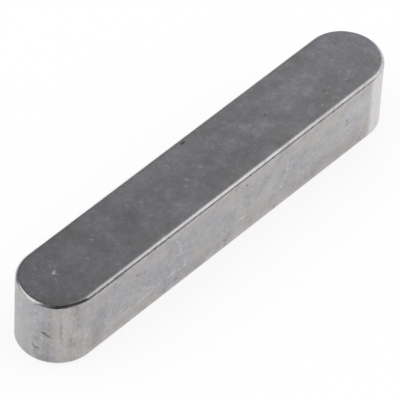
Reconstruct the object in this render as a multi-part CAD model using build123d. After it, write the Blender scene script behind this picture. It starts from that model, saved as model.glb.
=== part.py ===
from build123d import *
import os

# Parallel key with both ends round, the plain steel key that locks a hub to its shaft.
# It is cut from square drawn bar, its two ends are milled to half circles, and both of
# its outlines are chamfered all the way round.
# The key lies on its bottom face: X runs along it, Y across it and Z up, and the origin
# is the middle of the bottom face.

# Driving dimensions, in millimetres
KEY_WIDTH = 6.0  # between the flanks; the round ends are half circles of this width
KEY_HEIGHT = 6.0  # from the bottom face to the top face
KEY_LENGTH = 36.0  # over both round ends
CHAMFER_INSET = 0.25  # how far the chamfer draws the faces in from the walls
CHAMFER_DEPTH = 0.25  # how far the chamfer reaches along the walls


def key_plan():
    """Outline seen from above: two straight flanks that run tangent into the half circles."""
    return SlotOverall(KEY_LENGTH, KEY_WIDTH)


def key_blank():
    """Square-edged key: the plan carried straight up from the bottom face to the top face."""
    return extrude(key_plan(), KEY_HEIGHT)


def with_chamfer(body, face):
    """The body with one unbroken chamfer round a face, along both flanks and round both ends."""
    return chamfer(face.edges(), CHAMFER_INSET, CHAMFER_DEPTH, reference=face)


def finished_key():
    """The blank, chamfered round its bottom face and then round its top face."""
    key = key_blank()
    key = with_chamfer(key, key.faces().sort_by(Axis.Z)[0])
    return with_chamfer(key, key.faces().sort_by(Axis.Z)[-1])


os.makedirs("parts", exist_ok=True)
export_step(finished_key(), "parts/parallel_key.step")
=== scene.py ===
import math

import bmesh
import bpy
import numpy as np
from bpy.props import FloatProperty, FloatVectorProperty, PointerProperty
from mathutils import Matrix, Vector


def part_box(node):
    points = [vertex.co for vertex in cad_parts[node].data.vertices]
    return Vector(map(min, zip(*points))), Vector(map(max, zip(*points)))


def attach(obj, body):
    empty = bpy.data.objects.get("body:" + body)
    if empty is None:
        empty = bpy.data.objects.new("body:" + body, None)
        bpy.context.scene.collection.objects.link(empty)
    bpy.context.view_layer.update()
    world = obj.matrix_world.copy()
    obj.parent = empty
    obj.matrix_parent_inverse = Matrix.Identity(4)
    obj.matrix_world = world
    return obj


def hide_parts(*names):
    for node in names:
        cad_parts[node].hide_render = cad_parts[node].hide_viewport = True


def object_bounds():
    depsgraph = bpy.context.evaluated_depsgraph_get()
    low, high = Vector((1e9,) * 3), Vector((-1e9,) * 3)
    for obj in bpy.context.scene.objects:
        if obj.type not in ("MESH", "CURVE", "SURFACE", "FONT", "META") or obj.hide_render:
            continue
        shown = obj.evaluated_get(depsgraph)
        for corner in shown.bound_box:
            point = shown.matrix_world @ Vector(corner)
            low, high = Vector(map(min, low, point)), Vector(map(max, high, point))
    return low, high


bl_info = {
    "name": "Round-ended parallel key",
    "version": (1, 0, 0),
    "blender": (4, 5, 0),
    "location": "3D View > Sidebar > Key",
    "description": "Builds a tumbled steel parallel key and the small studio that it lies in",
    "category": "Add Mesh",
}

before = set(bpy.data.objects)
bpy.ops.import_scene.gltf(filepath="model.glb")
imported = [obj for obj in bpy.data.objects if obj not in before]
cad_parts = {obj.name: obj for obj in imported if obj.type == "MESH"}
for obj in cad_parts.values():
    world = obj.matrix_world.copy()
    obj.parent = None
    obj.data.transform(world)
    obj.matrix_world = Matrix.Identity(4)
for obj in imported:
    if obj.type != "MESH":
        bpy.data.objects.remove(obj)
CAD_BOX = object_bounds()

MM = 0.001
NODE = "parallel_key"

# The key lies along X, so its width gives the radius of both round ends. All in millimetres.
KEY_LOW, KEY_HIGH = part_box(NODE)
KEY_HEIGHT = (KEY_HIGH.z - KEY_LOW.z) / MM
END_RADIUS = (KEY_HIGH.y - KEY_LOW.y) / 2 / MM
END_CENTRE = (KEY_HIGH.x - KEY_LOW.x) / 2 / MM - END_RADIUS
# Height of the top face and place of the front flank across the key.
TOP, FLANK = KEY_HEIGHT, -END_RADIUS


# ---------------------------------------------------------------- settings


def small_length(**details):
    """Setting for a length well under a millimetre."""
    return FloatProperty(unit="LENGTH", precision=6, **details)


def colour(**details):
    """Setting for a colour."""
    return FloatVectorProperty(subtype="COLOR", size=3, **details)


class KeyForm(bpy.types.PropertyGroup):
    """Shape of the key's edges and depth of its wear, beyond the sizes that the frame gives."""

    face_roll: small_length(
        name="Face roll-off",
        description="Length of the tumbled curve that leads from a face into its chamfer",
        default=0.14 * MM,
    )
    chamfer_run: small_length(
        name="Chamfer",
        description="Length of the nearly flat part of the chamfer, measured down its slope",
        default=0.13 * MM,
    )
    lip_run: small_length(
        name="Lip",
        description="Length of the steeper lip between the chamfer and the wall",
        default=0.12 * MM,
    )
    corner_run: small_length(
        name="Corner",
        description="Length of the tight curve that leads from the lip into the wall",
        default=0.03 * MM,
    )
    cell: small_length(
        name="Cell",
        description="Side of one cell of the surface grid on the faces and walls",
        default=0.11 * MM,
    )
    pit_depth: small_length(
        name="Pit depth",
        description="Depth of the small pits scattered over the steel",
        default=0.006 * MM,
    )


class SteelFinish(bpy.types.PropertyGroup):
    """Colours of the bare steel. Some of them also carry painted shade and painted highlights."""

    # The face colours are darker than the wall colours: partly the steel's own tone and partly
    # painted shade of the faces.
    face_cool: colour(
        name="Face, bluish", description="Bluish patches of the faces",
        default=(0.265, 0.260, 0.288),
    )
    face_grey: colour(
        name="Face, grey", description="Duller, greyer patches of the faces",
        default=(0.264, 0.262, 0.270),
    )
    wall_cool: colour(
        name="Wall, bluish", description="Bluish patches of the walls",
        default=(0.420, 0.412, 0.432),
    )
    wall_warm: colour(
        name="Wall, warm", description="Warmer patches of the walls",
        default=(0.461, 0.434, 0.425),
    )
    wall_sage: colour(
        name="Wall, greenish", description="Small greener spots of the walls",
        default=(0.430, 0.433, 0.424),
    )
    edge_bright: colour(
        name="Edge", description="Steel of the chamfers, rubbed bright",
        default=(0.600, 0.586, 0.588),
    )
    end_bright: colour(
        name="Milled end", description="Freshly milled steel of the brighter round end",
        default=(0.700, 0.688, 0.676),
    )
    # Mixed in for grime, and also for painted shade: the shaded stretches of the near end, the
    # darker near end of the faces, and the marks named shadow and shade.
    grime_and_shade: colour(
        name="Grime", description="Dark residue in nicks and pits, and the tint of duller steel",
        default=(0.050, 0.047, 0.045),
    )
    # Mixed in for scratched metal, and also for painted highlights such as the light rims of the
    # walls and the seam light.
    scuffs_and_highlights: colour(
        name="Scuffs", description="Freshly scratched metal",
        default=(0.665, 0.660, 0.695),
    )


class Studio(bpy.types.PropertyGroup):
    """Floor, lamps and camera around the key."""

    floor_colour: colour(
        name="Floor", description="Colour of the pale floor",
        default=(0.94, 0.94, 0.94),
    )
    floor_glow: FloatProperty(
        name="Floor white", description="Share of plain white in the floor",
        default=0.82, subtype="FACTOR",
    )
    tent_radius: FloatProperty(
        name="Tent radius", description="Radius of the light tent that the steel mirrors",
        default=200 * MM, unit="LENGTH",
    )
    floor_side: FloatProperty(
        name="Floor side", description="Side of the square floor",
        default=1.6, unit="LENGTH",
    )
    ambient: FloatProperty(
        name="Ambient", description="Strength of the even light from all round",
        default=0.70,
    )
    camera_distance: FloatProperty(
        name="Camera distance", description="From the camera to the point it looks at",
        default=305.5 * MM, unit="LENGTH",
    )
    camera_azimuth: FloatProperty(
        name="Camera azimuth", description="Direction of the camera about Z, from +X",
        default=math.radians(-140.05), unit="ROTATION",
    )
    camera_elevation: FloatProperty(
        name="Camera elevation", description="Height angle of the camera above the floor",
        default=math.radians(46.37), unit="ROTATION",
    )
    camera_roll: FloatProperty(
        name="Camera roll", description="Turn of the camera about its own axis",
        default=math.radians(3.31), unit="ROTATION",
    )
    lens: FloatProperty(
        name="Lens", description="Focal length of the camera in millimetres",
        default=386.4,
    )
    aim: FloatVectorProperty(
        name="Aim", description="Point that the camera looks at, from the middle of the key",
        default=(-0.68 * MM, -0.33 * MM, 0.0), subtype="TRANSLATION", size=3, precision=6,
    )


# ---------------------------------------------------------------- numbers over space


def smooth_step(low, high, value):
    """0 below low, 1 above high, and 3t^2 - 2t^3 between them."""
    t = np.clip((value - low) / (high - low), 0.0, 1.0)
    return t * t * (3.0 - 2.0 * t)


# Large odd whole numbers that stir bits together: one for each axis and one for the seed.
STIR = np.array([374761393, 668265263, 2246822519, 3266489917], np.uint32)
# The eight corners of a cell.
CORNERS = np.array([[i, j, k] for i in (0, 1) for j in (0, 1) for k in (0, 1)])


def hashed(cells, seed):
    """Repeatable numbers from 0 to 1 for whole-numbered cells, mixed with integer products."""
    ix, iy, iz = (cells[..., axis].astype(np.int64).astype(np.uint32) for axis in range(3))
    mixed = ix * STIR[0] + iy * STIR[1] + iz * STIR[2] + np.uint32(seed) * STIR[3]
    mixed = (mixed ^ (mixed >> np.uint32(15))) * STIR[2]
    mixed = (mixed ^ (mixed >> np.uint32(13))) * STIR[3]
    return (mixed ^ (mixed >> np.uint32(16))).astype(np.float64) / 2.0**32


def value_noise(points, cell, seed):
    """Noise from 0 to 1: hashed values at the corners of cells, blended smoothly inside each.

    cell is one length, or a length for each axis where the grain is stretched.
    """
    scaled = points / np.asarray(cell, float)
    base = np.floor(scaled)
    part = smooth_step(0.0, 1.0, scaled - base)
    total = np.zeros(points.shape[:-1])
    for corner in CORNERS:
        weight = np.prod(np.where(corner == 1, part, 1.0 - part), axis=-1)
        total += weight * hashed(base + corner, seed)
    return total


def scattered_pits(points, cell, radius, share, seed):
    """0 to 1: a smooth bowl of the given radius round one random spot in a share of the cells."""
    base = np.floor(points / cell)
    deepest = np.zeros(points.shape[:-1])
    for step in np.ndindex(3, 3, 3):
        here = base + (np.array(step) - 1)
        jitter = [hashed(here, seed + 1 + axis) for axis in range(3)]
        spot = (here + np.stack(jitter, axis=-1)) * cell
        size = radius * (0.5 + 0.5 * hashed(here, seed + 5))
        near = np.clip(1.0 - np.sum((points - spot) ** 2, axis=-1) / size**2, 0.0, 1.0)
        deepest = np.maximum(deepest, near**2 * (hashed(here, seed + 7) < share))
    return deepest


# ---------------------------------------------------------------- form of the key


def outline_path(cells_straight, cells_round):
    """The stadium outline, anticlockwise from the middle of the +Y flank.

    For each column it gives the nearest point of the line that joins the two end centres,
    and the direction that points outwards from it. Both run evenly between five knots: along a
    flank the point slides and the direction stays, and round an end the reverse.
    """
    half = cells_straight // 2
    knots = np.cumsum([0, half, cells_round, cells_straight, cells_round, half])
    column = np.arange(knots[-1])
    reach = END_CENTRE
    centre_x = np.interp(column, knots, [0.0, -reach, -reach, reach, reach, 0.0])
    quarter = math.pi / 2
    heading = np.interp(column, knots, quarter * np.array([1, 1, 3, 3, 5, 5]))
    return centre_x, np.stack([np.cos(heading), np.sin(heading)], axis=-1)


# Slope of the surface in degrees at the five knots of an edge, from the face to the wall, and how
# many steps lead from each knot to the next.
EDGE_TILTS = (0.0, 40.0, 47.0, 64.0, 90.0)
EDGE_STEPS = (5, 5, 3, 3)


def edge_curve(form):
    """Cross-section of an edge from face to wall, as inset, drop and tilt for each sample.

    The tilt grows evenly with the length of the curve between five knots, so each stretch is an
    arc. The curve is the running sum of the chords of those arcs, and a chord is its arc times
    the sine of half the turn over half the turn.
    """
    runs = np.array([form.face_roll, form.chamfer_run, form.lip_run, form.corner_run]) / MM
    knots = np.cumsum([0, *EDGE_STEPS])
    tilt = np.radians(np.interp(np.arange(knots[-1] + 1), knots, EDGE_TILTS))
    length = np.repeat(runs / EDGE_STEPS, EDGE_STEPS)
    turn = np.diff(tilt)
    chord = length * np.sinc(turn / 2 / math.pi)
    middle = (tilt[:-1] + tilt[1:]) / 2
    travel = np.concatenate([[0.0], np.cumsum(chord * np.cos(middle))])
    drop = np.concatenate([[0.0], np.cumsum(chord * np.sin(middle))])
    return travel[-1] - travel, drop, tilt


def profile(form):
    """Cross-section of the key from the middle of its top face out, down and back underneath.

    Returns the inset from the wall, the height and the tilt of the surface for each row. The
    underside has half as many rows as the top.
    """
    cell = form.cell / MM
    inset, drop, tilt = edge_curve(form)
    rows_face = round((END_RADIUS - inset[0]) / cell)
    rows_wall = round((KEY_HEIGHT - 2 * drop[-1]) / cell)
    face = np.linspace(END_RADIUS, inset[0], rows_face, endpoint=False)
    wall = np.linspace(KEY_HEIGHT - drop[-1], drop[-1], rows_wall + 1)[1:-1]
    sections = (
        (face, KEY_HEIGHT, 0.0),
        (inset, KEY_HEIGHT - drop, tilt),
        (0.0, wall, math.pi / 2),
        (inset[::-1], drop[::-1], math.pi - tilt[::-1]),
        (face[::2][::-1], 0.0, math.pi),
    )
    return np.concatenate([np.stack(np.broadcast_arrays(*part)) for part in sections], axis=1)


def end_wall_point(degrees, height):
    """Point of the near round wall at an angle about its centre and a height."""
    angle = math.radians(degrees)
    return (
        -END_CENTRE + END_RADIUS * math.cos(angle),
        END_RADIUS * math.sin(angle),
        height,
    )


# Dents that knocks have left: what each one is, where its middle lies and which way it runs,
# half its length and half its width, and how deep it is, all in millimetres.
DENTS = (
    ("near scuff", (-15.0, 0.4, TOP), (0.2, 1.0, 0), 0.22, 0.10, 0.004),
    ("back edge nick", (0.4, 2.5, TOP), (1.0, 0.0, 0), 0.20, 0.12, 0.020),
    ("far pit", (6.6, 0.2, TOP), (1.0, 0.0, 0), 0.15, 0.12, 0.010),
    ("far chip", (9.9, -1.9, TOP), (1.0, 0.6, 0), 0.20, 0.12, 0.006),
    ("end pit", (13.5, -1.8, TOP), (0.6, -1.0, 0), 0.20, 0.12, 0.006),
    ("flank pit", (1.3, FLANK, 5.0), (0.3, 0, 1.0), 0.16, 0.10, 0.008),
    ("flank pit below", (1.2, FLANK, 4.2), (0.6, 0, 1.0), 0.22, 0.09, 0.008),
    ("flank loop", (5.4, FLANK, 3.5), (1.0, 0, 0.3), 0.22, 0.10, 0.006),
    ("far flank arc", (12.2, FLANK, 3.6), (0.3, 0, 1.0), 0.40, 0.09, 0.008),
    ("upper nick", end_wall_point(-154, 3.0), (0.3, -0.2, -0.3), 0.20, 0.11, 0.030),
    ("lower nick", end_wall_point(-166, 1.45), (0.3, -0.6, 0.2), 0.24, 0.10, 0.026),
    ("lower nick tail", end_wall_point(-168, 0.7), (0, 0, 1.0), 0.40, 0.07, 0.008),
    ("seam", end_wall_point(-131, 3.2), (0, 0, 1.0), 2.20, 0.06, 0.005),
)


def dent_depth(points):
    """Depth in millimetres of the listed dents at each point.

    Each dent is a bell over its own length and width, cut to the surface that it lies on.
    """
    depth = np.zeros(points.shape[:-1])
    for _, middle, run, half_length, half_width, how_deep in DENTS:
        away = points - np.array(middle)
        line = np.array(run) / np.linalg.norm(run)
        along = away @ line
        across = np.linalg.norm(away - along[..., None] * line, axis=-1)
        depth += how_deep * np.exp(-((along / half_length) ** 2) - (across / half_width) ** 2)
    return depth


# Patches, scratches and flecks drawn on the steel, in millimetres: what it is, where it starts
# and ends, half its width, and how it looks, from -1 for dark grime to 1 for bare bright metal.
# The marks named shadow and seam shade are painted shadows, and seam light a painted highlight.
# The first list gives x and y on the top face, the second x and z on the front flank, and the
# third the angle in degrees and z on the near round end.
TOP_STROKES = (
    ("pale back band", -6.50, 2.00, 0.80, 2.00, 0.80, 0.10),
    ("pale back patch", -2.40, 1.20, -1.60, 1.20, 0.80, 0.07),
    ("pale front patch", 6.80, -2.10, 7.20, -2.10, 0.70, 0.09),
    ("pale end patch", 7.50, 0.60, 15.50, 0.40, 0.90, 0.06),
    ("dull middle band", -1.80, -1.50, 4.20, -1.00, 0.80, -0.12),
    ("dull middle patch", 0.60, -0.20, 1.40, -0.10, 0.80, -0.13),
    ("dull near patch", -8.20, -0.20, -7.80, 0.20, 0.90, -0.20),
    ("scuff", -14.85, 0.50, -15.10, 0.35, 0.11, 0.85),
    ("scuff arm", -15.05, 0.40, -15.40, 0.40, 0.06, 0.50),
    ("scuff leg", -15.05, 0.35, -14.95, 0.10, 0.06, 0.45),
    ("scuff tail", -15.35, 0.10, -15.55, -0.35, 0.06, 0.50),
    ("near smudge", -15.60, 1.90, -15.70, 1.45, 0.12, 0.22),
    ("near fleck", -12.50, -0.45, -12.40, -0.35, 0.09, 0.40),
    ("near pair", -11.05, 0.75, -11.00, 0.55, 0.08, 0.60),
    ("near pair back", -10.55, 1.55, -10.50, 1.40, 0.08, 0.42),
    ("near dash", -9.80, 0.80, -9.70, 0.70, 0.08, 0.35),
    ("near back dot", -12.30, 1.55, -12.20, 1.50, 0.07, 0.32),
    ("front dot", -8.40, -0.70, -8.30, -0.65, 0.08, 0.32),
    ("middle fleck", -7.00, 1.20, -6.90, 1.15, 0.08, 0.30),
    ("middle chip", -5.95, 0.70, -5.85, 0.60, 0.08, 0.30),
    ("back twin", -2.10, 1.80, -2.05, 1.60, 0.08, 0.42),
    ("back twin end", -1.90, 1.25, -1.85, 1.15, 0.07, 0.35),
    ("middle twin", -2.10, -0.20, -1.95, -0.30, 0.08, 0.48),
    ("middle twin end", -2.75, -0.50, -2.60, -0.60, 0.08, 0.32),
    ("middle dash", -0.50, 0.15, -0.40, -0.10, 0.06, 0.32),
    ("back edge nick", 0.25, 2.48, 0.50, 2.50, 0.10, -0.90),
    ("far back dot", 3.40, 1.55, 3.45, 1.45, 0.07, 0.32),
    ("far dot", 5.05, 0.30, 5.15, 0.20, 0.09, 0.35),
    ("far arc", 4.75, -0.75, 5.25, -0.70, 0.05, 0.28),
    ("far arc end", 5.25, -0.70, 5.65, -0.60, 0.05, 0.28),
    ("far pit", 6.58, 0.20, 6.62, 0.18, 0.14, -0.36),
    ("bright chip", 10.20, -2.10, 10.30, -2.05, 0.09, 0.65),
    ("bright chip shadow", 9.80, -1.80, 10.10, -1.80, 0.09, -0.24),
    ("bright dot", 11.95, -1.25, 12.05, -1.25, 0.08, 0.55),
    ("bright dot shadow", 11.35, -1.25, 11.50, -1.20, 0.10, -0.30),
    ("end line", 13.30, -0.70, 13.85, -0.80, 0.05, 0.24),
    ("end pit", 13.40, -1.75, 13.60, -1.85, 0.11, -0.27),
    ("comma", 15.35, 1.40, 15.30, 1.20, 0.08, 0.50),
    ("comma tail", 15.30, 1.20, 15.50, 0.80, 0.06, 0.36),
)
FLANK_STROKES = (
    ("dull near foot", -14.20, 1.00, -14.00, 3.00, 0.80, -0.12),
    ("dull far foot", 6.50, 1.10, 13.50, 1.00, 0.90, -0.09),
    ("pale shoulder", -9.00, 4.30, -7.50, 4.30, 0.50, 0.10),
    ("tall stroke", -6.05, 4.90, -5.75, 3.90, 0.07, 0.50),
    ("tall stroke foot", -5.75, 3.90, -5.45, 3.00, 0.07, 0.45),
    ("upper bar", -5.90, 4.15, -4.90, 3.75, 0.07, 0.42),
    ("lower bar", -6.55, 3.60, -5.60, 3.20, 0.07, 0.42),
    ("short stroke", -9.25, 4.90, -9.05, 4.50, 0.06, 0.35),
    ("drag start", -11.60, 1.50, -10.70, 1.60, 0.09, 0.38),
    ("drag", -10.00, 1.50, -8.60, 1.65, 0.12, 0.42),
    ("drag middle", -8.60, 1.65, -7.60, 1.80, 0.10, 0.42),
    ("drag end", -6.90, 1.75, -6.15, 1.80, 0.11, 0.62),
    ("upper drag", -9.65, 2.75, -8.55, 2.00, 0.10, 0.38),
    ("bright dot", -5.15, 1.75, -5.05, 1.70, 0.11, 0.75),
    ("squiggle", -2.85, 4.45, -2.30, 4.65, 0.05, 0.30),
    ("dot row", -0.75, 2.00, -0.65, 1.90, 0.09, 0.50),
    ("dash", 0.45, 2.00, 1.35, 1.85, 0.08, 0.50),
    ("hook", 0.90, 3.85, -0.15, 3.65, 0.05, 0.28),
    ("loop", 5.50, 3.55, 5.75, 3.35, 0.07, 0.42),
    ("loop shadow", 5.20, 3.40, 5.35, 3.35, 0.09, -0.55),
    ("mid dot", 1.90, 2.30, 2.00, 2.25, 0.09, 0.45),
    ("low dash", 4.95, 2.10, 5.25, 1.90, 0.07, 0.38),
    ("far dot", 7.45, 1.80, 7.55, 1.70, 0.10, 0.48),
    ("far patch", 8.45, 2.75, 9.00, 2.80, 0.11, 0.36),
    ("far hook", 9.50, 2.45, 10.10, 2.70, 0.07, 0.32),
    ("far line", 10.65, 3.00, 11.10, 3.10, 0.07, 0.38),
    ("arc rim", 11.60, 3.60, 11.40, 3.45, 0.09, 0.34),
    ("arc low rim", 12.00, 2.90, 12.50, 2.90, 0.08, 0.46),
    ("arc", 12.00, 3.95, 12.30, 3.55, 0.05, -0.55),
    ("arc foot", 12.30, 3.55, 12.15, 3.15, 0.06, -0.60),
    ("arc smear", 11.30, 4.45, 11.80, 4.20, 0.22, 0.24),
    ("pale far patch", 12.60, 4.30, 15.40, 4.10, 0.90, 0.20),
    ("end smear", 12.90, 4.25, 14.60, 4.20, 0.42, 0.34),
    ("upper pit", 1.25, 5.10, 1.35, 4.95, 0.08, -0.50),
    ("pit pair", 0.95, 4.15, 1.05, 4.00, 0.07, -0.45),
    ("near pit", -10.25, 4.50, -10.15, 4.45, 0.08, -0.40),
    ("mid pit", -1.60, 2.95, -1.55, 2.90, 0.08, -0.38),
    ("rust dot", -0.95, 0.95, -0.85, 0.90, 0.10, -0.40),
)
END_STROKES = (
    ("upper nick", -156, 3.20, -154, 3.00, 0.16, -0.58),
    ("upper nick side", -151, 2.95, -148, 2.80, 0.13, -0.44),
    ("upper nick lip", -158, 2.65, -157, 2.35, 0.11, 0.70),
    ("upper nick crown", -151, 3.25, -149, 3.10, 0.09, 0.45),
    ("lower nick", -171, 1.50, -168, 1.40, 0.14, -0.46),
    ("lower nick side", -165, 1.40, -163, 1.45, 0.14, -0.40),
    ("lower nick fold", -168, 1.05, -167, 0.80, 0.11, -0.30),
    ("lower nick lip", -167, 1.75, -164, 1.65, 0.10, 0.40),
    ("lower nick tail", -161, 1.30, -163, 0.95, 0.06, 0.35),
    ("tail light", -167, 0.60, -167, 0.35, 0.08, 0.36),
    # Painted shade and a painted highlight on either side of the seam.
    ("seam shade", -132, 4.10, -132, 2.30, 0.12, -0.20),
    ("seam light", -129, 5.30, -129, 3.00, 0.06, 0.30),
    ("left streak", -173, 1.60, -172, 1.00, 0.06, 0.34),
    ("knock", -114, 1.95, -113, 1.85, 0.09, -0.30),
    ("right knock", -100, 2.05, -99, 1.95, 0.08, -0.34),
    ("rim scratch", -168, 5.20, -166, 4.70, 0.05, -0.34),
)


def strokes_on_key():
    """All strokes as two points on the key, a half width and a look."""
    for _, x1, y1, x2, y2, half_width, look in TOP_STROKES:
        yield (x1, y1, TOP), (x2, y2, TOP), half_width, look
    for _, x1, z1, x2, z2, half_width, look in FLANK_STROKES:
        yield (x1, FLANK, z1), (x2, FLANK, z2), half_width, look
    for _, turn1, z1, turn2, z2, half_width, look in END_STROKES:
        yield end_wall_point(turn1, z1), end_wall_point(turn2, z2), half_width, look


# Wear that is spread over the steel, in millimetres: how deep it goes at most and the size of one
# of its cells, along each axis where they differ. The milled walls also lie a step lower.
WAVE_DEPTH, WAVE_CELL = 0.004, (5.0, 2.2, 2.2)
MILLED_STEP = 0.006
MILLED_DEPTH, MILLED_CELL, MILLED_STRETCH = 0.004, 0.22, 0.06
WANDER_DEPTH, WANDER_CELL = 0.008, (1.3, 1.3, 4.0)
KNOCK_DEPTH, KNOCK_CELL = 0.007, (0.45, 0.45, 4.0)
PIT_CELL, PIT_RADIUS, PIT_SHARE = 1.1, 0.20, 0.30


def relief(points, tilt, form):
    """How far the steel lies below its ideal surface, in millimetres, and never above it.

    The sum of a slow waviness, milled lines down the round ends, an edge that wanders slowly
    and in small knocks, scattered pits and the listed dents. The tilt is in radians.
    """
    wall = smooth_step(1.2, 1.5, tilt) * smooth_step(1.2, 1.5, math.pi - tilt)
    edge = smooth_step(0.05, 0.5, tilt) * (1.0 - smooth_step(1.3, 1.5, tilt))
    past = np.abs(points[..., 0]) - END_CENTRE
    end = smooth_step(0.0, 0.12, past) * wall
    turn = np.arctan2(points[..., 1], past) * END_RADIUS
    unrolled = np.stack([turn, turn * 0, points[..., 2] * MILLED_STRETCH], axis=-1)
    milled = MILLED_STEP + MILLED_DEPTH * value_noise(unrolled, MILLED_CELL, seed=31)
    wander = WANDER_DEPTH * value_noise(points, WANDER_CELL, seed=41)
    knocks = KNOCK_DEPTH * value_noise(points, KNOCK_CELL, seed=43)
    pits = scattered_pits(points, PIT_CELL, PIT_RADIUS, PIT_SHARE, seed=53) * form.pit_depth / MM
    wave = WAVE_DEPTH * value_noise(points, WAVE_CELL, seed=11)
    return wave + milled * end + (wander + knocks) * edge + pits + dent_depth(points)


def key_surface(form):
    """The whole skin of the key as one grid: the profile carried round the outline.

    A point is its column's point on the centre line, plus its column's direction times the end
    radius less its row's inset, at its row's height, sunk by the relief along the surface normal.
    """
    cell = form.cell / MM
    cells_straight = 2 * round(END_CENTRE / cell)
    cells_round = round(math.pi * END_RADIUS / cell)
    centre_x, heading = outline_path(cells_straight, cells_round)
    inset, height, tilt = profile(form)
    rows, columns = len(inset), len(centre_x)
    points = np.zeros((rows, columns, 3))
    points[..., 0] = centre_x + (END_RADIUS - inset)[:, None] * heading[:, 0]
    points[..., 1] = (END_RADIUS - inset)[:, None] * heading[:, 1]
    points[..., 2] = height[:, None]
    normal = np.zeros_like(points)
    normal[..., :2] = np.sin(tilt)[:, None, None] * heading
    normal[..., 2] = np.cos(tilt)[:, None]
    tilt_grid = np.repeat(tilt[:, None], columns, axis=1)
    points -= normal * relief(points, tilt_grid, form)[..., None]
    points[..., 2] += KEY_LOW.z / MM
    return points, tilt_grid


def grid_faces(rows, columns):
    """Quads of a grid that closes on itself along its columns, all turned outwards."""
    here = np.arange(rows * columns).reshape(rows, columns)
    right = np.roll(here, -1, axis=1)
    quads = np.stack([here[:-1], here[1:], right[1:], right[:-1]], axis=-1)
    return quads.reshape(-1, 4)


# Points nearer than this are one point.
SAME_POINT = 0.001 * MM


def close_middle(mesh):
    """Joins the doubled points along the middle line of both faces, which closes the skin."""
    work = bmesh.new()
    work.from_mesh(mesh)
    bmesh.ops.remove_doubles(work, verts=work.verts, dist=SAME_POINT)
    work.to_mesh(mesh)
    work.free()


def key_mesh(form):
    """Mesh of the key, with the tilt of the profile on its points, from 0 on top to 1 below."""
    points, tilt = key_surface(form)
    mesh = bpy.data.meshes.new("key_body")
    faces = grid_faces(*tilt.shape)
    mesh.from_pydata((points * MM).reshape(-1, 3).tolist(), [], faces.tolist())
    share = (tilt / math.pi).astype(np.float32)
    mesh.attributes.new("tilt", "FLOAT", "POINT").data.foreach_set("value", share.ravel())
    close_middle(mesh)
    mesh.shade_smooth()
    return mesh


# ---------------------------------------------------------------- shader arithmetic


class Wire:
    """A shader value that Python arithmetic extends with Math nodes."""

    def __init__(self, nodes, socket):
        self.nodes = nodes
        self.socket = socket

    def maths(self, operation, first, second=0.0):
        return self.nodes.add("ShaderNodeMath", {"operation": operation}, {0: first, 1: second})

    def __add__(self, other):
        return self.maths("ADD", self, other)

    __radd__ = __add__

    def __sub__(self, other):
        return self.maths("SUBTRACT", self, other)

    def __rsub__(self, other):
        return self.maths("SUBTRACT", other, self)

    def __mul__(self, other):
        return self.maths("MULTIPLY", self, other)

    __rmul__ = __mul__

    def __truediv__(self, other):
        return self.maths("DIVIDE", self, other)

    def __abs__(self):
        return self.maths("ABSOLUTE", self)

    def at_least(self, other):
        return self.maths("MAXIMUM", self, other)

    def at_most(self, other):
        return self.maths("MINIMUM", self, other)

    def step(self, low, high):
        """0 at low and 1 at high, eased at both ends."""
        return self.nodes.add(
            "ShaderNodeMapRange",
            {"interpolation_type": "SMOOTHSTEP"},
            {"Value": self, "From Min": low, "From Max": high},
        )

    def within(self, low, high, soft):
        """1 between two values and 0 outside them, eased over a margin on both sides."""
        return self.step(low - soft, low + soft) * (1 - self.step(high - soft, high + soft))


class Nodes:
    """The node tree of one material."""

    def __init__(self, material):
        material.use_nodes = True
        self.tree = material.node_tree
        self.tree.nodes.clear()

    def add(self, kind, settings=None, inputs=None, output=0):
        """Adds a node, sets it up, feeds its sockets and returns one of its outputs, if any."""
        node = self.tree.nodes.new(kind)
        for name, value in (settings or {}).items():
            setattr(node, name, value)
        for key, value in (inputs or {}).items():
            if isinstance(value, Wire):
                self.tree.links.new(value.socket, node.inputs[key])
            else:
                node.inputs[key].default_value = value
        return Wire(self, node.outputs[output]) if node.outputs else None

    def mix(self, factor, first, second):
        """Colour between two colours. The node keeps colours in sockets 6 and 7 and output 2."""
        first, second = (c if isinstance(c, Wire) else (*c, 1.0) for c in (first, second))
        sockets = {0: factor, 6: first, 7: second}
        return self.add("ShaderNodeMix", {"data_type": "RGBA"}, sockets, 2)

    def noise(self, where, scale, detail, roughness=0.5):
        """Soft noise about 0.5, with so many marks per millimetre."""
        sockets = {"Vector": where, "Scale": scale, "Detail": detail, "Roughness": roughness}
        return self.add("ShaderNodeTexNoise", {}, sockets)

    def noise_colour(self, where, scale):
        """Three soft noises about 0.5, as one vector."""
        return self.add("ShaderNodeTexNoise", {}, {"Vector": where, "Scale": scale}, "Color")

    def place(self):
        """Position on the object in millimetres, as a vector and as its three parts."""
        metres = self.add("ShaderNodeTexCoord", output="Object")
        vector = self.scaled(metres, 1 / MM)
        parts = [self.add("ShaderNodeSeparateXYZ", {}, {0: vector}, axis) for axis in range(3)]
        return vector, parts

    def vector(self, x, y, z):
        return self.add("ShaderNodeCombineXYZ", {}, {0: x, 1: y, 2: z})

    def attribute(self, name):
        """A number stored on the points of the mesh."""
        return self.add("ShaderNodeAttribute", {"attribute_name": name}, {}, "Fac")

    def between(self, operation, first, second, output=0):
        """Vector Math on two vectors, as a vector or, with output 1, as a number."""
        settings = {"operation": operation}
        return self.add("ShaderNodeVectorMath", settings, {0: first, 1: second}, output)

    def scaled(self, vector, factor):
        """Vector times a number."""
        sockets = {0: vector, "Scale": factor}
        return self.add("ShaderNodeVectorMath", {"operation": "SCALE"}, sockets)

    def show(self, kind, inputs):
        """Makes one shader node the surface of the material."""
        self.add("ShaderNodeOutputMaterial", {}, {"Surface": self.add(kind, {}, inputs)})


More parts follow.
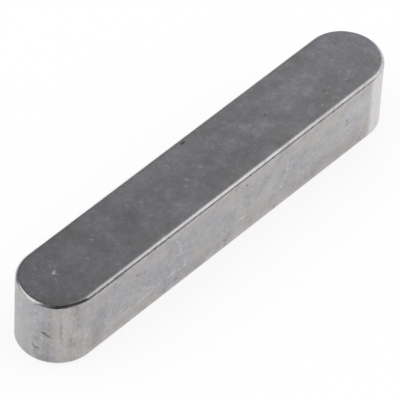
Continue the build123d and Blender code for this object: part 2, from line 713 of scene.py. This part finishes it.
def crumbs(n, where, scale, shift, low, high):
    """Small ragged flecks: the peaks of fine noise, cut between two levels."""
    moved = n.between("ADD", where, (shift, shift, shift))
    return n.noise(moved, scale, 1.0).step(low, high)


# A stroke is solid within the first share of its half width and gone beyond the second. Noise
# with so many marks per millimetre frays it, by at most half of the reach in millimetres.
STROKE_SOLID, STROKE_GONE = 0.4, 1.3
FRAY_SCALE, FRAY_REACH = 3.8, 0.45


def stroke(n, where, start, end, half_width):
    """1 along the line between two points of the key and 0 a little beyond the half width."""
    line = Vector(end) - Vector(start)
    away = n.between("SUBTRACT", where, start)
    along = n.between("DOT_PRODUCT", away, tuple(line), 1) / line.length_squared
    nearest = n.scaled(tuple(line), along.at_least(0.0).at_most(1.0))
    off_line = n.between("DISTANCE", away, nearest, 1)
    return 1 - off_line.step(half_width * STROKE_SOLID, half_width * STROKE_GONE)


def hairlines(n, where, scale, thin):
    """Fine wandering lines where soft noise crosses its middle value."""
    field = n.noise(where, scale, 2.0, 0.45)
    return 1 - abs(field - 0.5).step(0.0, thin)


class KeyPlace:
    """Where on the key a point of the steel lies: masks from 0 to 1 and places in millimetres.

    turned is the wall of both round ends, fresh that of the far one, and near_end all of the near
    one. bearing is the way round an end from the long axis in degrees, and round_way its length.
    """

    def __init__(self, n):
        self.where, (self.x, self.y, self.z) = n.place()
        # The tilt is 0 on top, 0.5 on the walls and 1 below, and the lean 0 on both faces.
        lean = 0.5 - abs(n.attribute("tilt") - 0.5)
        self.wall = lean.step(0.42, 0.48)
        self.chamfer = lean.step(0.07, 0.23) * (1 - self.wall)
        past_centre = abs(self.x) - END_CENTRE
        self.turned = past_centre.step(-0.05, 0.05) * self.wall
        self.fresh = self.x.step(END_CENTRE - 0.45, END_CENTRE + 0.1) * self.wall
        self.near_end = (0 - self.x).step(END_CENTRE - 0.5, END_CENTRE + 0.5)
        self.off_middle = abs(self.z - KEY_HEIGHT / 2)
        angle = n.add("ShaderNodeMath", {"operation": "ARCTAN2"}, {0: self.y, 1: past_centre})
        self.bearing = angle * math.degrees(1.0)
        self.round_way = angle * END_RADIUS


class SteelGrain:
    """Soft noises over the steel, each about 0.5, from the widest to the finest, and hairlines.

    The milled lines run down the round ends: close together round them and long in height.
    """

    def __init__(self, n, key):
        where, x, y, z = key.where, key.x, key.y, key.z
        self.clouds = n.noise(where, 0.42, 2.0, 0.4)
        self.patches = n.noise(where, 0.95, 3.0, 0.55)
        self.mottle = n.noise(where, 2.4, 3.0, 0.6)
        self.grain = n.noise(where, 6.5, 2.0, 0.6)
        down_the_end = n.vector(key.round_way * 2.6, 0.0, z * 0.16)
        self.milled = n.noise(down_the_end, 1.0, 3.0, 0.6)

        slanted = n.vector(x * 0.55 + z * 0.5, y, z * 1.6)
        upright = n.vector(x * 1.3, y * 1.3, z * 0.5)
        scratches = hairlines(n, slanted, 0.9, 0.012) * self.patches.step(0.48, 0.60)
        scrapes = hairlines(n, where, 1.6, 0.014) * (1 - self.patches).step(0.50, 0.62)
        crossing = hairlines(n, upright, 1.1, 0.010) * self.mottle.step(0.5, 0.62)
        self.lines = (scratches * 0.33 + scrapes * 0.29 + crossing * 0.29) * key.wall


def face_tone(n, key, grain, steel):
    """Bluish and greyer patches, the greyer ones mostly beside the long edges."""
    side = (0 - key.y).step(0.6, 1.8) * 0.35 + key.y.step(1.6, 2.6) * 0.35
    cloudy = (0.5 - grain.clouds) * 2.4 + (0.5 - grain.patches) * 2.8
    return n.mix((side + cloudy + 0.35).step(0.1, 0.9), steel.face_cool, steel.face_grey)


def wall_tone(n, key, grain, steel):
    """Warm near the top, the bottom and the far end, and bluish between, with greenish spots.

    The near end is bluish on the side that turns away from the front flank, and warm on the
    other. The far end is freshly milled.
    """
    level = key.off_middle.step(0.6, 2.6) * 0.6
    spread = (grain.clouds - 0.5) * 3.4 + (grain.patches - 0.5) * 1.6
    towards_flank = (0 - key.y).step(1.2, 2.4)
    ends = (towards_flank * 0.95 - 0.38) * key.near_end + key.x.step(11.0, 14.0) * 0.40
    warm = (level + spread + 0.22 + ends).step(0.15, 0.85)
    tone = n.mix(warm, steel.wall_cool, steel.wall_warm)
    green = (grain.mottle + grain.clouds * 0.5).step(0.76, 0.92) * 0.8
    tone = n.mix(green, tone, steel.wall_sage)
    return n.mix(key.fresh, tone, steel.end_bright)


# Shaded stretches of the near round wall: where they are, the angles they lie between and how
# soft those are, the heights they lie between and how soft those are, and how dark they are.
# Angles count from the long axis, negative towards the front flank. BELOW and ABOVE are off the
# key, so a stretch that ends there runs on to its edge.
BELOW, ABOVE = -5.0, KEY_HEIGHT + 5.0
NEAR_END_SHADES = (
    ("towards the flank", -75.0, -61.0, 6.0, BELOW, ABOVE, 1.0, 0.16),
    ("round both nicks", -38.0, -13.0, 8.0, BELOW, 4.0, 0.8, 0.18),
    ("beside the upper nick", -30.0, -17.0, 6.0, 2.2, 3.9, 0.6, 0.10),
    ("foot of the front", -20.0, 2.0, 6.0, BELOW, 1.9, 0.7, 0.13),
)


def near_end_light(key):
    """How much lighter the near round wall is in places: below 0 in the shaded stretches."""
    light = key.y.step(-1.0, -0.2) * 0.12
    for _, left, right, soft, low, high, soft_height, dark in NEAR_END_SHADES:
        stretch = key.bearing.within(left, right, soft) * key.z.within(low, high, soft_height)
        light = light - stretch * dark
    return light


def wall_light(key, grain):
    """How much lighter the walls are in places than their bare tone, and darker below 0.

    A light rim runs along the top and the bottom edge, a painted highlight of the rounded edges,
    and the flanks darken towards their foot, but not on the near end. The far end has dull streaks
    between its milled lines.
    """
    # Painted highlight: a light rim along the top and the bottom edge of the walls.
    rim = key.off_middle.step(2.25, 2.55) * grain.patches.step(0.36, 0.50) * 0.21
    foot = (1 - key.z.step(0.9, 2.6)) * 0.08
    streaks = (1 - grain.milled.step(0.26, 0.60)) * key.fresh * 0.12
    far_half = key.x.step(6.0, 15.0) * 0.12
    milled = (grain.milled - 0.5) * key.turned * 0.60
    near = near_end_light(key) * key.near_end
    return ((rim - foot) * (1 - key.near_end) + far_half + near - streaks) * key.wall + milled


def unevenness_and_painted_light(key, grain):
    """How much lighter the steel is in places than its bare tone, and darker below 0.

    The finer grain is weakest on the faces and strongest on the chamfers. The faces are painted
    darker towards the near end, as painted shade where the light along the key falls off, and the
    chamfers are duller on the far half.
    """
    depth = key.wall * (0.20 - key.turned * 0.05) + key.chamfer * 0.45 + 0.58
    fine = (grain.mottle - 0.5) * depth + (grain.grain - 0.5) * depth * 0.8
    broad = (grain.patches - 0.5) * 0.55 + (grain.clouds - 0.5) * 0.40
    # Painted shade: the faces darken towards the near end, where the light along the key falls
    # off.
    painted_near_shade = key.near_end * 0.09 + (0 - key.x).step(4.0, 14.0) * 0.06
    dull_edge = key.x.step(0.0, 10.0) * key.chamfer * 0.18
    return fine + broad + wall_light(key, grain) - painted_near_shade * (1 - key.wall) - dull_edge


def placed_strokes(n, key, grain):
    """Masks of the bright strokes and of the grimy and shadow strokes, frayed and broken up by
    noise.
    """
    noise = n.noise_colour(key.where, FRAY_SCALE)
    fray = n.scaled(n.between("SUBTRACT", noise, (0.5, 0.5, 0.5)), FRAY_REACH)
    ragged = n.between("ADD", key.where, fray)
    bright, grime_and_shadow = 0.0, 0.0
    for start, end, half_width, look in strokes_on_key():
        mark = stroke(n, ragged, start, end, half_width) * abs(look)
        if look > 0:
            bright = mark.at_least(bright)
        else:
            grime_and_shadow = mark.at_least(grime_and_shadow)
    broken = n.noise(key.where, 5.0, 2.0).step(0.36, 0.58) * 0.80 + 0.35
    flat_wall = (key.wall - key.turned) * 0.20 + 1
    return bright * broken * flat_wall, grime_and_shadow * (grain.grain * 0.9 + 0.55)


def wear_masks(n, key, grain):
    """How much each point is lightened by scuffs and painted highlights, and darkened by grime and
    painted shadows.
    """
    rough = grain.patches + grain.mottle
    specks = crumbs(n, key.where, 4.6, 0.0, 0.60, 0.70) * rough.step(0.98, 1.16)
    soot = crumbs(n, key.where, 4.2, 7.3, 0.62, 0.72) * (2 - rough).step(0.98, 1.16)
    bright, grime_and_shadow = placed_strokes(n, key, grain)
    light = (specks * (key.wall * 0.20 + 0.18) + grain.lines).at_least(bright)
    dark = (soot * (key.wall * 0.08 + 0.14)).at_least(grime_and_shadow)
    return light, dark


# How strongly unevenness, painted highlights and painted shade tint the steel, how far a mark
# covers it at most, and how high the grain stands where its bumps are highest.
UNEVEN_STRENGTH, MARK_COVER, BUMP_HEIGHT = 0.8, 0.9, 0.004 * MM


def steel_material(steel):
    """Bare drawn steel, tumbled: faces darker than the walls, partly by painted shade, bright
    chamfers, flecks, grime, and painted highlights and shadows.
    """
    material = bpy.data.materials.new("tumbled_steel")
    n = Nodes(material)
    key = KeyPlace(n)
    grain = SteelGrain(n, key)
    uneven_and_painted_light = unevenness_and_painted_light(key, grain) * UNEVEN_STRENGTH
    light, dark = wear_masks(n, key, grain)

    walls, faces = wall_tone(n, key, grain, steel), face_tone(n, key, grain, steel)
    tone = n.mix(key.chamfer, n.mix(key.wall, faces, walls), steel.edge_bright)
    # Lighter places take the scuff colour and darker ones the grime colour, painted highlights and
    # painted shade among them.
    tone = n.mix(uneven_and_painted_light.at_least(0.0), tone, steel.scuffs_and_highlights)
    tone = n.mix((0 - uneven_and_painted_light).at_least(0.0), tone, steel.grime_and_shade)
    tone = n.mix(light.at_most(MARK_COVER), tone, steel.scuffs_and_highlights)
    tone = n.mix(dark.at_most(MARK_COVER), tone, steel.grime_and_shade)

    cloudy = (grain.mottle - 0.5) * 0.20 + (grain.clouds - 0.5) * 0.10
    roughness = cloudy - key.chamfer * 0.23 + dark * 0.2 + 0.40
    height = grain.grain * 0.6 + grain.mottle * 0.8 + grain.milled * key.turned * 0.8 - light * 0.5
    sockets = {"Height": height, "Distance": BUMP_HEIGHT, "Strength": 1.0}
    bump = n.add("ShaderNodeBump", {}, sockets)
    sockets = {"Base Color": tone, "Metallic": 1.0, "Roughness": roughness, "Normal": bump}
    n.show("ShaderNodeBsdfPrincipled", sockets)
    return material


# ---------------------------------------------------------------- studio


def floor_material(colour, glow_share):
    """Matt pale floor. Seen directly or in the steel, a share of it is plain white."""
    material = bpy.data.materials.new("pale_floor")
    n = Nodes(material)
    matt = n.add("ShaderNodeBsdfDiffuse", {}, {"Color": (*colour, 1.0)})
    white = n.add("ShaderNodeEmission", {}, {"Color": (1.0, 1.0, 1.0, 1.0), "Strength": 1.0})
    seen = n.add("ShaderNodeLightPath", output="Is Camera Ray")
    mirrored = n.add("ShaderNodeLightPath", output="Is Glossy Ray")
    through = n.add("ShaderNodeLightPath", output="Is Transmission Ray")
    share = seen.at_least(mirrored).at_least(through) * glow_share
    n.show("ShaderNodeMixShader", {0: share, 1: matt, 2: white})
    return material


def tent_material():
    """Cloth of the light tent, which glows as brightly as its points say."""
    material = bpy.data.materials.new("tent_cloth")
    n = Nodes(material)
    level = n.attribute("glow")
    n.show("ShaderNodeEmission", {"Color": n.vector(level, level, level)})
    return material


def direction(azimuth, elevation):
    """Unit vector at an azimuth from +X and an elevation above the floor, both in radians."""
    level = math.cos(elevation)
    return Vector((level * math.cos(azimuth), level * math.sin(azimuth), math.sin(elevation)))


def facing_matrix(place, target, roll=0.0):
    """Placement whose own -Z axis looks at the target, turned about that axis by the roll."""
    back = (place - target).normalized()
    right = Vector((0, 0, 1)).cross(back)
    right = Vector((1, 0, 0)) if right.length < 1e-6 else right.normalized()
    up = back.cross(right)
    turned_right = right * math.cos(roll) + up * math.sin(roll)
    turned_up = up * math.cos(roll) - right * math.sin(roll)
    axes = Matrix((turned_right, turned_up, back)).transposed()
    return Matrix.Translation(place) @ axes.to_4x4()


def rectangle(name, width, depth, material):
    """Flat rectangle about the origin, in its own XY plane."""
    signs = ((-1, -1), (1, -1), (1, 1), (-1, 1))
    corners = [(sx * width / 2, sy * depth / 2, 0.0) for sx, sy in signs]
    mesh = bpy.data.meshes.new(name)
    mesh.from_pydata(corners, [], [(0, 1, 2, 3)])
    mesh.materials.append(material)
    thing = bpy.data.objects.new(name, mesh)
    bpy.context.scene.collection.objects.link(thing)
    return thing


# Lamps: how far from the key they hang, in metres, and for each of them its azimuth and elevation
# in degrees, its width and height in metres, and how brightly it glows.
LAMP_DISTANCE = 0.40
LAMPS = (
    ("right_lamp", -32, 45, 0.42, 0.34, 0.55),
    ("left_lamp", 152, 45, 0.42, 0.34, 0.55),
    ("top_lamp", -140, 88, 0.40, 0.40, 0.50),
)


def panel_mask(azimuth, elevation, middle, half_width, low, high, soft):
    """1 inside a panel of the tent and 0 outside it, eased over a margin. All in degrees.

    The panel is a box in azimuth and elevation, and the azimuth is measured the short way round.
    """
    away = np.abs((azimuth - middle + 180.0) % 360.0 - 180.0)
    across = 1.0 - smooth_step(half_width - soft, half_width + soft, away)
    rise = smooth_step(low - soft, low + soft, elevation)
    fall = 1.0 - smooth_step(high - soft, high + soft, elevation)
    return across * rise * fall


# Panels of the tent, each hung over those before it: the azimuth of its middle and half its
# width, its lower and upper edge and their softness, in degrees, and how brightly it glows.
TENT_PANELS = (
    ("right panel", -20.0, 35.0, 22.0, 80.0, 5.0, 1.18),
    ("right panel's lower edge", -36.0, 24.0, 23.0, 36.0, 4.0, 1.25),
    ("panel beside the far end", -8.0, 22.0, -20.0, 28.0, 5.0, 1.05),
    ("low left panel", 145.0, 32.0, -20.0, 26.0, 8.0, 0.75),
    ("high left panel", 145.0, 35.0, 24.0, 47.0, 6.0, 1.35),
    ("front cloth", -100.0, 34.0, -20.0, 40.0, 8.0, 0.50),
    ("dark gap at the floor", -62.0, 11.0, -20.0, 16.0, 6.0, 0.04),
)

# Rim of the opening that the camera looks through: azimuth, lower edge and upper edge, in
# degrees, and how soft it is. Right of it hangs the lower end of the right panel.
OPENING_RIM = (
    (-180.0, 0.0, 48.0),
    (-150.0, 2.0, 49.0),
    (-136.0, 10.0, 51.0),
    (-120.0, 23.0, 60.0),
    (-103.0, 33.0, 67.0),
    (-90.0, 31.0, 69.0),
    (-80.0, 24.0, 68.0),
    (-72.0, 14.0, 65.0),
    (-66.0, 7.0, 62.0),
    (-58.0, 2.0, 57.0),
)
RIM_SOFT = 5.0


def opening_mask(azimuth, elevation):
    """1 inside the opening and 0 outside it, eased over a margin of a few degrees."""
    turn, low, high = np.array(OPENING_RIM).T
    around = (azimuth + 360.0) % 360.0 - 360.0
    rise = smooth_step(-RIM_SOFT, RIM_SOFT, elevation - np.interp(around, turn, low))
    fall = smooth_step(-RIM_SOFT, RIM_SOFT, np.interp(around, turn, high) - elevation)
    left_side = smooth_step(-188.0, -178.0, around)
    right_side = 1.0 - smooth_step(-64.0, -57.0, around)
    return rise * fall * left_side * right_side


def tent_level(azimuth, elevation):
    """How brightly the tent glows in each direction from the key, in degrees.

    It fades from the right round the back to the left and dims overhead. The panels hang in it,
    and the opening that the camera looks through stays dark, though less beyond the near end.
    """
    back = np.clip((azimuth + 90.0) % 360.0 - 90.0, -10.0, 100.0)
    level = 0.22 + 0.74 * (1.0 - smooth_step(2.0, 80.0, back))
    level = level + (0.42 - level) * smooth_step(60.0, 80.0, elevation)
    for _, *panel, glow in TENT_PANELS:
        level = level + (glow - level) * panel_mask(azimuth, elevation, *panel)
    shade = 0.08 + 0.26 * smooth_step(146.0, 178.0, np.abs(azimuth))
    return level + (shade - level) * opening_mask(azimuth, elevation)


# Rows of the tent from the floor to the top, and columns round it.
TENT_ROWS, TENT_COLUMNS = 61, 240


def tent_mesh(radius):
    """Half a sphere over the key, with the brightness of the cloth on its points.

    Rows rise from the floor to the top by equal angles, and columns go round by equal angles.
    """
    up = np.linspace(0.0, 90.0, TENT_ROWS)
    around = np.linspace(-180.0, 180.0, TENT_COLUMNS, endpoint=False)
    elevation, azimuth = np.meshgrid(up, around, indexing="ij")
    rise, turn = np.radians(elevation), np.radians(azimuth)
    flat = radius * np.cos(rise)
    points = np.stack([flat * np.cos(turn), flat * np.sin(turn), radius * np.sin(rise)], axis=-1)
    mesh = bpy.data.meshes.new("light_tent")
    faces = grid_faces(TENT_ROWS, TENT_COLUMNS)
    mesh.from_pydata(points.reshape(-1, 3).tolist(), [], faces.tolist())
    glow = tent_level(azimuth, elevation).astype(np.float32)
    mesh.attributes.new("glow", "FLOAT", "POINT").data.foreach_set("value", glow.ravel())
    mesh.materials.append(tent_material())
    return mesh


def add_lamp(name, azimuth, elevation, width, height, glow):
    """Rectangular soft box. A lamp's energy spreads over four times its area."""
    middle = Vector((0, 0, KEY_HEIGHT * MM / 2))
    place = middle + direction(math.radians(azimuth), math.radians(elevation)) * LAMP_DISTANCE
    light = bpy.data.lights.new(name, "AREA")
    light.shape = "RECTANGLE"
    light.size = width
    light.size_y = height
    light.energy = glow * 4 * width * height
    lamp = bpy.data.objects.new(name, light)
    lamp.matrix_world = facing_matrix(place, middle)
    lamp.visible_camera = False
    lamp.visible_glossy = False
    bpy.context.scene.collection.objects.link(lamp)


def add_tent(studio):
    """The light tent. Only reflections show it, so it neither lights nor shades the floor."""
    tent = bpy.data.objects.new("light_tent", tent_mesh(studio.tent_radius))
    bpy.context.scene.collection.objects.link(tent)
    tent.visible_camera = False
    tent.visible_diffuse = False
    tent.visible_transmission = False
    tent.visible_volume_scatter = False
    tent.visible_shadow = False


def add_world(studio):
    """Even light from all round."""
    world = bpy.data.worlds.new("even_light")
    world.use_nodes = True
    background = world.node_tree.nodes["Background"]
    background.inputs["Color"].default_value = (1.0, 1.0, 1.0, 1.0)
    background.inputs["Strength"].default_value = studio.ambient
    bpy.context.scene.world = world


def add_camera(studio):
    """Long lens looking down along the key."""
    target = (CAD_BOX[0] + CAD_BOX[1]) / 2 + Vector(studio.aim)
    towards = direction(studio.camera_azimuth, studio.camera_elevation)
    place = target + towards * studio.camera_distance
    data = bpy.data.cameras.new("camera")
    data.lens = studio.lens
    data.sensor_width = 36.0
    data.clip_start = 0.01
    data.clip_end = 10.0
    camera = bpy.data.objects.new("camera", data)
    camera.matrix_world = facing_matrix(place, target, studio.camera_roll)
    bpy.context.scene.collection.objects.link(camera)
    bpy.context.scene.camera = camera


# ---------------------------------------------------------------- operators


class KEY_OT_make_body(bpy.types.Operator):
    """Build the tumbled steel key over its frame solid"""

    bl_idname = "key.make_body"
    bl_label = "Make key"

    def execute(self, context):
        mesh = key_mesh(context.scene.key_form)
        mesh.materials.append(steel_material(context.scene.key_steel))
        body = bpy.data.objects.new("key_body", mesh)
        context.scene.collection.objects.link(body)
        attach(body, "root")
        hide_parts(NODE)
        return {"FINISHED"}


class KEY_OT_make_stage(bpy.types.Operator):
    """Set up the floor, the soft light and the camera"""

    bl_idname = "key.make_stage"
    bl_label = "Make studio"

    def execute(self, context):
        studio = context.scene.key_studio
        floor = rectangle(
            "floor", studio.floor_side, studio.floor_side,
            floor_material(studio.floor_colour, studio.floor_glow),
        )
        floor.location.z = KEY_LOW.z
        add_world(studio)
        for lamp in LAMPS:
            add_lamp(*lamp)
        add_tent(studio)
        add_camera(studio)
        context.scene.view_settings.view_transform = "Standard"
        return {"FINISHED"}


class KEY_PT_sidebar(bpy.types.Panel):
    """Sidebar tab with the settings and the two operators"""

    bl_label = "Parallel key"
    bl_idname = "KEY_PT_sidebar"
    bl_space_type = "VIEW_3D"
    bl_region_type = "UI"
    bl_category = "Key"

    def draw(self, context):
        for name in SETTINGS:
            group = getattr(context.scene, name)
            box = self.layout.box()
            for prop in group.bl_rna.properties:
                if prop.identifier not in ("name", "rna_type"):
                    box.prop(group, prop.identifier)
        self.layout.operator(KEY_OT_make_body.bl_idname)
        self.layout.operator(KEY_OT_make_stage.bl_idname)


SETTINGS = {"key_form": KeyForm, "key_steel": SteelFinish, "key_studio": Studio}
CLASSES = (*SETTINGS.values(), KEY_OT_make_body, KEY_OT_make_stage, KEY_PT_sidebar)


def register():
    for cls in CLASSES:
        bpy.utils.register_class(cls)
    for name, cls in SETTINGS.items():
        setattr(bpy.types.Scene, name, PointerProperty(type=cls))


def unregister():
    for name in SETTINGS:
        delattr(bpy.types.Scene, name)
    for cls in reversed(CLASSES):
        bpy.utils.unregister_class(cls)


def main():
    """Builds the key and its studio."""
    register()
    bpy.ops.key.make_body()
    bpy.ops.key.make_stage()


if __name__ == "__main__":
    main()
